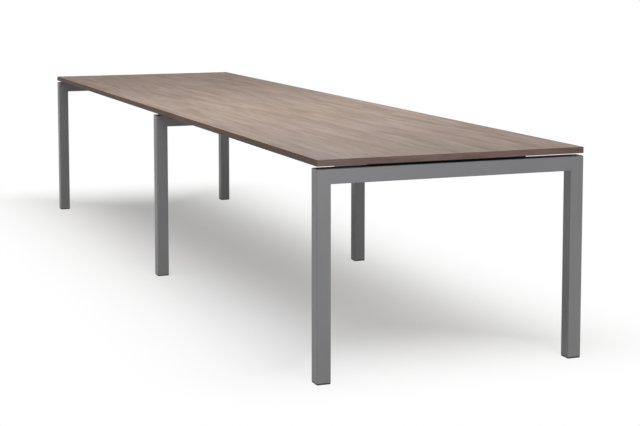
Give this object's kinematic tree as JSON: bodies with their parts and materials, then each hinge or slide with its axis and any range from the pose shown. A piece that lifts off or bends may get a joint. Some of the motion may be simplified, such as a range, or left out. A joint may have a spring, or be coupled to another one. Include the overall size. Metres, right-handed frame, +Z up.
{
  "type": "conference table",
  "caption": "Long conference table: a floating rectangular wood-decor top over mitred square-tube portal frames, with a shadow gap and screw-levelled glide feet.",
  "frame": {"origin": "on the floor under the middle of the top", "axes": "+X along the table towards the front end, the near end of the picture; +Y across it, to the right as seen from the front end; +Z up"},
  "size_m": [4, 1, 0.75],
  "materials": {
    "wood_decor": "grey-brown wood-decor melamine, satin, grain along the length",
    "edge_band": "wood-decor edge strip, a little darker than the top",
    "grey_coat": "grey powder coat, fine satin texture",
    "black_coat": "black powder coat",
    "black_plastic": "black moulded plastic",
    "zinc": "zinc-plated steel"
  },
  "bodies": {
    "table": {"top_panel_front": "wood_decor", "end_band_front": "edge_band", "side_band_front_left": "edge_band", "beam_front_left": "grey_coat", "side_band_front_right": "edge_band", "beam_front_right": "grey_coat", "top_panel_rear": "wood_decor", "end_band_rear": "edge_band", "side_band_rear_left": "edge_band", "beam_rear_left": "grey_coat", "side_band_rear_right": "edge_band", "beam_rear_right": "grey_coat", "crossbar_front": "grey_coat", "crossbar_middle": "grey_coat", "crossbar_rear": "grey_coat", "leg_front_left": "grey_coat", "tube_insert_front_left": "black_plastic", "leg_front_right": "grey_coat", "tube_insert_front_right": "black_plastic", "leg_middle_left": "grey_coat", "tube_insert_middle_left": "black_plastic", "leg_middle_right": "grey_coat", "tube_insert_middle_right": "black_plastic", "leg_rear_left": "grey_coat", "tube_insert_rear_left": "black_plastic", "leg_rear_right": "grey_coat", "tube_insert_rear_right": "black_plastic", "carrier_front_outer": "black_coat", "carrier_bolt_front_outer_left": "zinc", "top_screw_front_outer_left": "zinc", "carrier_bolt_front_outer_right": "zinc", "top_screw_front_outer_right": "zinc", "carrier_front_inner": "black_coat", "carrier_bolt_front_inner_left": "zinc", "top_screw_front_inner_left": "zinc", "carrier_bolt_front_inner_right": "zinc", "top_screw_front_inner_right": "zinc", "carrier_rear_outer": "black_coat", "carrier_bolt_rear_outer_left": "zinc", "top_screw_rear_outer_left": "zinc", "carrier_bolt_rear_outer_right": "zinc", "top_screw_rear_outer_right": "zinc", "carrier_rear_inner": "black_coat", "carrier_bolt_rear_inner_left": "zinc", "top_screw_rear_inner_left": "zinc", "carrier_bolt_rear_inner_right": "zinc", "top_screw_rear_inner_right": "zinc"},
    "foot_front_left": {"glide_foot_front_left": "black_plastic"},
    "screw_front_left": {"levelling_screw_front_left": "zinc"},
    "foot_front_right": {"glide_foot_front_right": "black_plastic"},
    "screw_front_right": {"levelling_screw_front_right": "zinc"},
    "foot_middle_left": {"glide_foot_middle_left": "black_plastic"},
    "screw_middle_left": {"levelling_screw_middle_left": "zinc"},
    "foot_middle_right": {"glide_foot_middle_right": "black_plastic"},
    "screw_middle_right": {"levelling_screw_middle_right": "zinc"},
    "foot_rear_left": {"glide_foot_rear_left": "black_plastic"},
    "screw_rear_left": {"levelling_screw_rear_left": "zinc"},
    "foot_rear_right": {"glide_foot_rear_right": "black_plastic"},
    "screw_rear_right": {"levelling_screw_rear_right": "zinc"}
  },
  "joints": [
    {"name": "foot_front_left_slide", "type": "slide", "parent": "table", "child": "foot_front_left", "axis": [0, 0, -1], "range_m": [0, 0.015]},
    {"name": "screw_front_left_turn", "type": "hinge", "parent": "foot_front_left", "child": "screw_front_left", "pos_m": [1.975, -0.475, 0.0063], "axis": [0, 0, -1], "range_deg": [0, 3600]},
    {"name": "foot_front_right_slide", "type": "slide", "parent": "table", "child": "foot_front_right", "axis": [0, 0, -1], "range_m": [0, 0.015]},
    {"name": "screw_front_right_turn", "type": "hinge", "parent": "foot_front_right", "child": "screw_front_right", "pos_m": [1.975, 0.475, 0.0063], "axis": [0, 0, -1], "range_deg": [0, 3600]},
    {"name": "foot_middle_left_slide", "type": "slide", "parent": "table", "child": "foot_middle_left", "axis": [0, 0, -1], "range_m": [0, 0.015]},
    {"name": "screw_middle_left_turn", "type": "hinge", "parent": "foot_middle_left", "child": "screw_middle_left", "pos_m": [0.045, -0.475, 0.0063], "axis": [0, 0, -1], "range_deg": [0, 3600]},
    {"name": "foot_middle_right_slide", "type": "slide", "parent": "table", "child": "foot_middle_right", "axis": [0, 0, -1], "range_m": [0, 0.015]},
    {"name": "screw_middle_right_turn", "type": "hinge", "parent": "foot_middle_right", "child": "screw_middle_right", "pos_m": [0.045, 0.475, 0.0063], "axis": [0, 0, -1], "range_deg": [0, 3600]},
    {"name": "foot_rear_left_slide", "type": "slide", "parent": "table", "child": "foot_rear_left", "axis": [0, 0, -1], "range_m": [0, 0.015]},
    {"name": "screw_rear_left_turn", "type": "hinge", "parent": "foot_rear_left", "child": "screw_rear_left", "pos_m": [-1.975, -0.475, 0.0063], "axis": [0, 0, -1], "range_deg": [0, 3600]},
    {"name": "foot_rear_right_slide", "type": "slide", "parent": "table", "child": "foot_rear_right", "axis": [0, 0, -1], "range_m": [0, 0.015]},
    {"name": "screw_rear_right_turn", "type": "hinge", "parent": "foot_rear_right", "child": "screw_rear_right", "pos_m": [-1.975, 0.475, 0.0063], "axis": [0, 0, -1], "range_deg": [0, 3600]}
  ],
  "couplings": [
    {"joint": "screw_front_left_turn", "follows": "foot_front_left_slide", "rad_per_m": 4188.8},
    {"joint": "screw_front_right_turn", "follows": "foot_front_right_slide", "rad_per_m": 4188.8},
    {"joint": "screw_middle_left_turn", "follows": "foot_middle_left_slide", "rad_per_m": 4188.8},
    {"joint": "screw_middle_right_turn", "follows": "foot_middle_right_slide", "rad_per_m": 4188.8},
    {"joint": "screw_rear_left_turn", "follows": "foot_rear_left_slide", "rad_per_m": 4188.8},
    {"joint": "screw_rear_right_turn", "follows": "foot_rear_right_slide", "rad_per_m": 4188.8}
  ]
}
